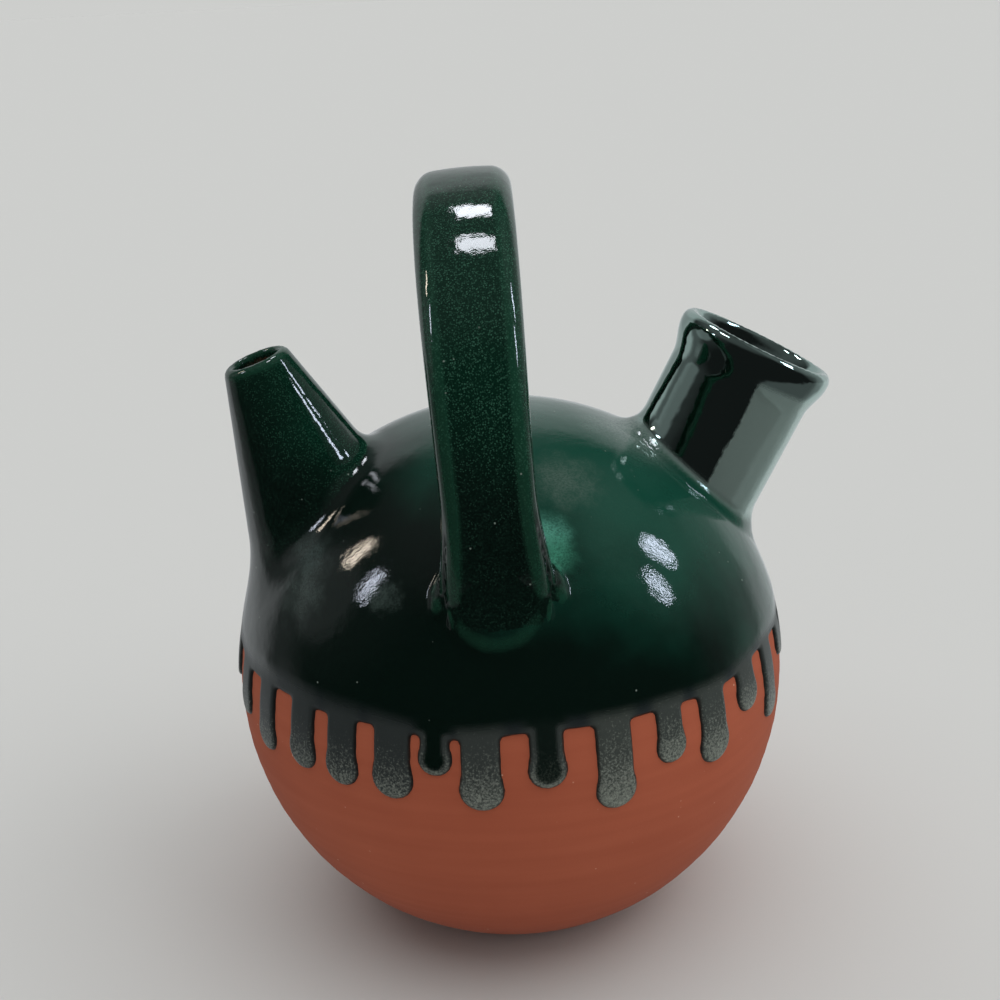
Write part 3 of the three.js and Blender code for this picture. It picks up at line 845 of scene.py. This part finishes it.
def earthenware_thrown():
    """Red earthenware, thrown and fired unglazed: matte and dry, with fine grit and faint throwing bands."""
    finish, tree = new_finish("earthenware_thrown_unglazed")
    place = add(tree, "ShaderNodeTexCoord").outputs["Object"]
    cloud = add(tree, "ShaderNodeTexNoise", None, {"Vector": place, "Scale": per_mm(26), "Detail": 4})
    banded = add(tree, "ShaderNodeMapping", None, {"Vector": place, "Scale": (0.06, 0.06, 1)})
    band = add(tree, "ShaderNodeTexNoise", None,
               {"Vector": banded.outputs[0], "Scale": per_mm(3.2), "Detail": 3})
    grit = add(tree, "ShaderNodeTexNoise", None, {"Vector": place, "Scale": per_mm(0.55), "Detail": 2})
    tone = add(tree, "ShaderNodeMix", {"data_type": "RGBA"},
               {"Factor": cloud.outputs[0], 6: linear("#ac583e"), 7: linear("#ba6448")})
    bands = add(tree, "ShaderNodeMapRange", None,
                {"Value": band.outputs[0], "From Min": 0.35, "From Max": 0.75, "To Max": 0.3})
    tone = add(tree, "ShaderNodeMix", {"data_type": "RGBA"},
               {"Factor": bands.outputs[0], 6: tone.outputs[2], 7: linear("#9b4a32")})
    grains = add(tree, "ShaderNodeTexVoronoi", None, {"Vector": place, "Scale": per_mm(3.4)})
    kept = add(tree, "ShaderNodeMapRange", None,
               {"Value": grains.outputs["Color"], "From Min": 0.62, "From Max": 0.72, "To Max": 0.8})
    pale = add(tree, "ShaderNodeMapRange", None,
               {"Value": grains.outputs["Distance"], "From Min": 0.08, "From Max": 0.04,
                "To Max": kept.outputs[0]})
    tone = add(tree, "ShaderNodeMix", {"data_type": "RGBA"},
               {"Factor": pale.outputs[0], 6: tone.outputs[2], 7: linear("#d8ab90")})
    height = add(tree, "ShaderNodeMix", {"data_type": "FLOAT"},
                 {"Factor": 0.5, 2: grit.outputs[0], 3: band.outputs[0]})
    bump = add(tree, "ShaderNodeBump", None,
               {"Height": height.outputs[0], "Strength": 0.35, "Distance": 0.12 * MM})
    clay = add(tree, "ShaderNodeBsdfPrincipled", None,
               {"Base Color": tone.outputs[2], "Roughness": 0.82, "IOR": 1.45,
                "Specular IOR Level": 0.3, "Normal": bump.outputs[0]})
    add(tree, "ShaderNodeOutputMaterial", None, {"Surface": clay.outputs[0]})
    return finish


def glaze_dipped(name, roughness, grain, flecks, green, pool_and_lit_way, pool_and_lit_ends, spots_and_reflections=(), drips=False,
                 lustre=False):
    """Green copper glaze over red clay, dipped and run: deep and wet-looking, nearly black where it pools
    low on the jug, greener above and towards the neck on the lit right side, partly as painted light there,
    paler on edges where it is thin, with swarms of fine flecks. With drips, it is dry and grey with pale
    specks where it ran out, with a dark line along its outline that is partly painted shade. With lustre,
    the neck mirrors like dark metal, and a paler, less metallic grey on its lower side is a painted
    reflection of the pale floor. The spots are grey cloudy spots, and bright spots that are painted
    reflections and sheen: place, reach, raggedness and colour."""
    finish, tree = new_finish(name)
    place = add(tree, "ShaderNodeTexCoord").outputs["Object"]
    keys = ["bend"] + ["inside", "tip", "ash", "dry"] * drips + ["lustre"] * lustre
    mark = {key: add(tree, "ShaderNodeAttribute", {"attribute_name": key}).outputs["Fac"] for key in keys}
    cloud = add(tree, "ShaderNodeTexNoise", None, {"Vector": place, "Scale": per_mm(22), "Detail": 4})
    # Darker low where the glaze pools, greener higher up and towards the lit right side; the tilt towards the
    # lit side is partly painted light.
    along = add(tree, "ShaderNodeVectorMath", {"operation": "DOT_PRODUCT"}, {0: place, 1: pool_and_lit_way})
    level = add(tree, "ShaderNodeMath", {"operation": "MULTIPLY_ADD"},
                {0: cloud.outputs[0], 1: POOL_AND_LIT_CLOUD * MM, 2: along.outputs["Value"]})
    pool_and_lit_side = add(tree, "ShaderNodeMapRange", {"interpolation_type": "SMOOTHSTEP"},
               {"Value": level.outputs[0], "From Min": pool_and_lit_ends[0] * MM, "From Max": pool_and_lit_ends[1] * MM})
    tone = add(tree, "ShaderNodeMix", {"data_type": "RGBA"},
               {"Factor": pool_and_lit_side.outputs[0], 6: linear("#06140f"), 7: linear(green)})
    thin = add(tree, "ShaderNodeMapRange", None,
               {"Value": mark["bend"], "From Min": 0.08, "From Max": 0.36, "To Max": 0.42})
    tone = add(tree, "ShaderNodeMix", {"data_type": "RGBA"},
               {"Factor": thin.outputs[0], 6: tone.outputs[2], 7: linear("#214c3a")})
    mottle = add(tree, "ShaderNodeTexNoise", None,
                 {"Vector": place, "Scale": per_mm(0.45), "Detail": 3, "Roughness": 0.7})
    grainy = add(tree, "ShaderNodeMapRange", None,
                 {"Value": mottle.outputs[0], "From Min": 0.35, "From Max": 0.6, "To Min": 0.35, "To Max": 0.9})
    ragged = add(tree, "ShaderNodeTexNoise", None,
                 {"Vector": place, "Scale": per_mm(5), "Detail": 6, "Roughness": 0.7})
    # Grey cloudy spots, and bright spots that are painted reflections of the studio and painted sheen.
    for spot, reach, rags, colour in spots_and_reflections:
        away = add(tree, "ShaderNodeVectorMath", {"operation": "DISTANCE"},
                   {0: place, 1: tuple(v * MM for v in spot)})
        torn = add(tree, "ShaderNodeMath", {"operation": "MULTIPLY_ADD"},
                   {0: ragged.outputs[0], 1: rags * MM, 2: away.outputs["Value"]})
        cover = add(tree, "ShaderNodeMapRange", {"interpolation_type": "SMOOTHSTEP"},
                    {"Value": torn.outputs[0], "From Min": (reach + rags / 2) * MM,
                     "From Max": rags / 2 * MM, "To Max": grainy.outputs[0]})
        tone = add(tree, "ShaderNodeMix", {"data_type": "RGBA"},
                   {"Factor": cover.outputs[0], 6: tone.outputs[2], 7: linear(colour)})
    fleck = add(tree, "ShaderNodeTexVoronoi", None, {"Vector": place, "Scale": per_mm(0.36)})
    swarm = add(tree, "ShaderNodeTexNoise", None,
                {"Vector": place, "Scale": per_mm(3.5), "Detail": 4, "Roughness": 0.7})
    most = add(tree, "ShaderNodeMapRange", None,
               {"Value": pool_and_lit_side.outputs[0], "To Min": 0.25 * flecks, "To Max": flecks})
    swarms = add(tree, "ShaderNodeMapRange", None,
                 {"Value": swarm.outputs[0], "From Min": 0.25, "From Max": 0.55, "To Max": most.outputs[0]})
    strong = add(tree, "ShaderNodeMapRange", None,
                 {"Value": fleck.outputs["Color"], "From Min": 0.25, "From Max": 0.7,
                  "To Max": swarms.outputs[0]})
    spots = add(tree, "ShaderNodeMapRange", None,
                {"Value": fleck.outputs["Distance"], "From Min": 0.6, "From Max": 0.1,
                 "To Max": strong.outputs[0]})
    tone = add(tree, "ShaderNodeMix", {"data_type": "RGBA"},
               {"Factor": spots.outputs[0], 6: tone.outputs[2], 7: linear("#467762")})
    dust = add(tree, "ShaderNodeTexVoronoi", None, {"Vector": place, "Scale": per_mm(3)})
    kept = add(tree, "ShaderNodeMapRange", None,
               {"Value": dust.outputs["Color"], "From Min": 0.66, "From Max": 0.76, "To Max": 0.7})
    dots = add(tree, "ShaderNodeMapRange", None,
               {"Value": dust.outputs["Distance"], "From Min": 0.08, "From Max": 0.04,
                "To Max": kept.outputs[0]})
    tone = add(tree, "ShaderNodeMix", {"data_type": "RGBA"},
               {"Factor": dots.outputs[0], 6: tone.outputs[2], 7: linear("#8f9c93")})
    metal, peeled, rough = 0, grain, roughness
    if lustre:
        tone = add(tree, "ShaderNodeMix", {"data_type": "RGBA"},
                   {"Factor": mark["lustre"], 6: tone.outputs[2], 7: linear("#acc3bc")})
        # Paler, less metallic grey with torn edges on the neck's lower side: a painted reflection of the pale
        # floor.
        mouth, axis = NECK_PLACE
        under = (float(axis[2]), 0, -float(axis[0]))
        side = add(tree, "ShaderNodeVectorMath", {"operation": "DOT_PRODUCT"}, {0: place, 1: under})
        edge = float(mouth @ np.array(under)) + MIRRORED_FLOOR_EDGE
        torn = add(tree, "ShaderNodeMath", {"operation": "MULTIPLY_ADD"},
                   {0: ragged.outputs[0], 1: MIRRORED_FLOOR_RAGS * MM, 2: side.outputs["Value"]})
        down = add(tree, "ShaderNodeVectorMath", {"operation": "DOT_PRODUCT"}, {0: place, 1: tuple(axis)})
        lip = float(mouth @ axis) - MIRRORED_FLOOR_DEPTH
        shaft = add(tree, "ShaderNodeMapRange", None,
                    {"Value": down.outputs["Value"], "From Min": lip * MM,
                     "From Max": (lip - MIRRORED_FLOOR_TOP_FADE) * MM, "To Max": mark["lustre"]})
        start, end = ((edge + fade) * MM for fade in MIRRORED_FLOOR_SIDE_FADE)
        mirrored_floor = add(tree, "ShaderNodeMapRange", None,
                   {"Value": torn.outputs[0], "From Min": start, "From Max": end, "To Max": shaft.outputs[0]})
        metal = add(tree, "ShaderNodeMix", {"data_type": "FLOAT"},
                    {"Factor": mirrored_floor.outputs[0], 2: mark["lustre"], 3: MIRRORED_FLOOR_METAL}).outputs[0]
        peeled = add(tree, "ShaderNodeMapRange", None,
                     {"Value": mark["lustre"], "To Min": grain, "To Max": 0}).outputs[0]
    if drips:
        reach = add(tree, "ShaderNodeMath", {"operation": "MULTIPLY_ADD"},
                    {0: mark["tip"], 1: 0.3, 2: mottle.outputs[0]})
        reach = add(tree, "ShaderNodeMath", {"operation": "MULTIPLY_ADD"},
                    {0: mark["ash"], 1: 0.12, 2: reach.outputs[0]})
        specks = add(tree, "ShaderNodeMapRange", None,
                     {"Value": reach.outputs[0], "From Min": 0.7, "From Max": 1, "To Max": 0.85})
        grey = add(tree, "ShaderNodeMix", {"data_type": "RGBA"},
                   {"Factor": mark["ash"], 6: linear("#262e30"), 7: linear("#414843")})
        grey = add(tree, "ShaderNodeMix", {"data_type": "RGBA"},
                   {"Factor": specks.outputs[0], 6: grey.outputs[2], 7: linear("#99a094")})
        # A dark line along the glaze's outline: partly the glaze's own dark edge, partly painted shade at its
        # raised edge.
        dark_edge_and_shade = add(tree, "ShaderNodeMapRange", None,
                   {"Value": mark["inside"], "From Min": 0.5, "From Max": 0.1, "To Max": 0.8})
        grey = add(tree, "ShaderNodeMix", {"data_type": "RGBA"},
                   {"Factor": dark_edge_and_shade.outputs[0], 6: grey.outputs[2], 7: linear("#17140f")})
        tone = add(tree, "ShaderNodeMix", {"data_type": "RGBA"},
                   {"Factor": mark["dry"], 6: tone.outputs[2], 7: grey.outputs[2]})
        rough = add(tree, "ShaderNodeMapRange", None,
                    {"Value": mark["dry"], "To Min": roughness, "To Max": DRY_ROUGHNESS}).outputs[0]
    swell = add(tree, "ShaderNodeTexNoise", None, {"Vector": place, "Scale": per_mm(5), "Detail": 2})
    ripple = add(tree, "ShaderNodeBump", None,
                 {"Height": swell.outputs[0], "Strength": 0.5, "Distance": 0.2 * MM})
    peel = add(tree, "ShaderNodeBump", None,
               {"Height": fleck.outputs["Distance"], "Strength": peeled, "Distance": 0.03 * MM,
                "Normal": ripple.outputs[0]})
    glaze = add(tree, "ShaderNodeBsdfPrincipled", None,
                {"Base Color": tone.outputs[2], "Roughness": rough, "IOR": GLAZE_IOR,
                 "Metallic": metal, "Normal": peel.outputs[0]})
    add(tree, "ShaderNodeOutputMaterial", None, {"Surface": glaze.outputs[0]})
    return finish


def paper_pale():
    """Pale studio paper, plain and matte."""
    finish, tree = new_finish("studio_paper_pale")
    paper = add(tree, "ShaderNodeBsdfDiffuse", None, {"Color": linear("#cfd0ce")})
    add(tree, "ShaderNodeOutputMaterial", None, {"Surface": paper.outputs[0]})
    return finish


# Pieces

clay = earthenware_thrown()
# Each glaze is greener higher up and towards the lit right side, given as the tilt; the tilt to the lit side is
# partly painted light, strongest on the spout.
body_finish = glaze_dipped(
    "copper_green_glaze_dipped", 0.06, 0.3, 0.08, "#16483a", (0.5, 0, 1), (107, 141),
    (
        ((-45, -28, 91), 10, 20, "#3d4a46"),
        ((-28.5, -42, 93), 5, 14, "#3d4a46"),
        # a painted reflection of a pale patch of the studio at the left
        ((-43.5, -23.5, 96), 7, 10, "#3f4d4a"),
        ((10.5, -29, 109.8), 10, 15, "#4f655b"),
        # painted reflections of the pale studio on the crown
        ((29, -3, 111), 18, 8, "#7d8f89"),
        ((0, 8, 116), 26, 6, "#5b7870"),
        # a painted emerald sheen of light in the glaze beside the strap's foot
        ((4.8, -40.8, 103), 6.5, 5, "#62b29b"),
        ((5.8, -44, 100), 6, 5, "#45957a"),
    ),
    drips=True, lustre=True,
)
spout_finish = glaze_dipped(
    "copper_green_glaze_dipped_glossy", 0.05, 0.15, 0.7, "#0d3829", (1.4, 0, 1), (62, 106))
handle_finish = glaze_dipped(
    "copper_green_glaze_dipped_flecked", 0.05, 0.15, 0.72, "#07261b", (0.9, 0, 1), (118, 158))

globe = make_globe()
spout = make_tube("clay_spout", SPOUT_PLACE, SPOUT_CLAY_START, spout_bore, spout_wall)
neck = make_tube("clay_neck", NECK_PLACE, NECK_CLAY_START, neck_bore, neck_wall)
strap = make_strap()
for piece, node in (
    (globe, "globe"),
    (spout, "pouring_spout"),
    (neck, "filling_neck"),
    (strap, "strap_handle"),
):
    piece.data.materials.clear()
    piece.data.materials.append(clay)
    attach(piece, "root")
    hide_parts(node)

body_coat, spout_coat, neck_coat, handle_coat = make_glaze()
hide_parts("body_glaze")
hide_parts("spout_glaze", "spout_luting_coil")
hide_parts("neck_glaze", "neck_luting_coil")
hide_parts("handle_glaze", "handle_front_luting", "handle_back_luting")
for piece, finish in (
    (body_coat, body_finish),
    (spout_coat, spout_finish),
    (neck_coat, body_finish),
    (handle_coat, handle_finish),
):
    piece.data.materials.append(finish)
    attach(piece, "root")


# Stage: floor, lamps and the light of the studio

def make_floor():
    corners = ((-1, -1), (1, -1), (1, 1), (-1, 1))
    points = np.array([(x * FLOOR_HALF, y * FLOOR_HALF, -FLOOR_GAP) for x, y in corners])
    floor = linked_mesh("floor", points, [(0, 1, 2, 3)])
    floor.data.materials.append(paper_pale())
    floor.visible_glossy = False


def add_lamp(name, lamp, turn, elevation, distance, power, colour):
    """A lamp that faces the jug: turn from the camera's side towards the neck, distance in metres."""
    lamp.energy, lamp.color = power, linear(colour)[:3]
    turn, elevation = math.radians(turn + CAMERA_TURN), math.radians(elevation)
    out = Vector((math.sin(turn) * math.cos(elevation), -math.cos(turn) * math.cos(elevation),
                  math.sin(elevation)))
    body = bpy.data.objects.new(name, lamp)
    body.location = out * distance + Vector((0, 0, BELLY_HEIGHT * MM))
    body.rotation_mode = "QUATERNION"
    body.rotation_quaternion = out.to_track_quat("Z", "Y")
    bpy.context.scene.collection.objects.link(body)
    return body


def add_tube(name, turn, elevation, size, power, colour, aside=0):
    """A strip lamp that shows as a highlight in the glaze: width, height and shift aside in metres."""
    lamp = bpy.data.lights.new(name, "AREA")
    lamp.shape, lamp.size, lamp.size_y = "RECTANGLE", *size
    body = add_lamp(name, lamp, turn, elevation, LAMP_DISTANCE, power, colour)
    body.location += body.rotation_quaternion @ Vector((aside, 0, 0))
    body.visible_diffuse = False


def add_sky(name, turn, elevation, spread, power, colour):
    """Even soft light from a wide part of the sky, not mirrored in the glaze."""
    lamp = bpy.data.lights.new(name, "SUN")
    lamp.angle = math.radians(spread)
    add_lamp(name, lamp, turn, elevation, LAMP_DISTANCE, power, colour).visible_glossy = False


def light_studio():
    """Studio round the jug as its glaze mirrors it: dark in front, pale paper behind, softer light at both
    sides and above. The camera sees plain pale paper, and everything else gets an even light."""
    world = bpy.data.worlds.new("studio")
    world.use_nodes = True
    bpy.context.scene.world = world
    tree = world.node_tree
    tree.nodes.clear()
    way = add(tree, "ShaderNodeTexCoord").outputs["Generated"]
    total = STUDIO_DARK
    for direction, start, end, strength in (
        ((0, 0.96, -0.28), 0.44, 0.6, 0.38),
        ((0.6, 0.75, -0.28), 0.6, 0.9, 0.2),
        ((0.8, 0.1, 0.6), 0.78, 0.98, 0.12),
        ((0.95, 0.3, 0), 0.8, 0.97, 0.08),
        ((-0.75, 0.25, 0.6), 0.6, 0.95, 0.035),
        ((-0.8, 0.6, 0), 0.86, 0.97, 0.1),
        ((-0.9, 0.2, 0.4), 0.955, 0.985, 0.16),
        ((-0.93, 0.2, -0.3), 0.95, 0.99, 0.14),
        ((0, 0, 1), 0.6, 0.95, 0.08),
        ((0, 0.84, 0.54), 0.88, 0.97, 0.16),
        ((0, 0.35, -0.94), 0.34, 0.44, 0.1),
    ):
        side = add(tree, "ShaderNodeVectorMath", {"operation": "DOT_PRODUCT"}, {0: way, 1: direction})
        ramp = add(tree, "ShaderNodeMapRange", {"interpolation_type": "SMOOTHSTEP"},
                   {"Value": side.outputs["Value"], "From Min": start, "From Max": end, "To Max": strength})
        total = add(tree, "ShaderNodeMath", {"operation": "ADD"}, {0: ramp.outputs[0], 1: total}).outputs[0]
    mirrored = add(tree, "ShaderNodeBackground", None, {"Color": linear("#eef3f5"), "Strength": total})
    pale = add(tree, "ShaderNodeBackground", None, {"Color": linear("#cdcecc"), "Strength": 1})
    even = add(tree, "ShaderNodeBackground", None, {"Color": linear("#ffffff"), "Strength": 0.3})
    path = add(tree, "ShaderNodeLightPath").outputs
    around = add(tree, "ShaderNodeMixShader", None,
                 {0: path["Is Glossy Ray"], 1: even.outputs[0], 2: mirrored.outputs[0]})
    both = add(tree, "ShaderNodeMixShader", None,
               {0: path["Is Camera Ray"], 1: around.outputs[0], 2: pale.outputs[0]})
    add(tree, "ShaderNodeOutputWorld", None, {"Surface": both.outputs[0]})


make_floor()
light_studio()
add_sky("soft_overhead", 165, 76, 100, 1.7, "#ffffff")
add_sky("soft_right", 80, 38, 60, 0.8, "#ffffff")
add_tube("tube_right_far", 95, 36, (0.11, 0.36), 2.0, "#dfeaff")
add_tube("tube_right_near", 80, 31, (0.11, 0.36), 2.0, "#dfeaff")
add_tube("tube_left_far", -99, 40, (0.11, 0.36), 1.8, "#fff0dc")
add_tube("tube_left_near", -79, 39, (0.11, 0.36), 1.6, "#e6eeff")
add_tube("tube_back_low", 180, 65, (0.25, 0.24), 2.4, "#f2f6ff", 0.036)
add_tube("tube_back_high", 180, 85, (0.25, 0.24), 2.4, "#f2f6ff", 0.036)
bpy.context.scene.view_settings.view_transform = "Standard"
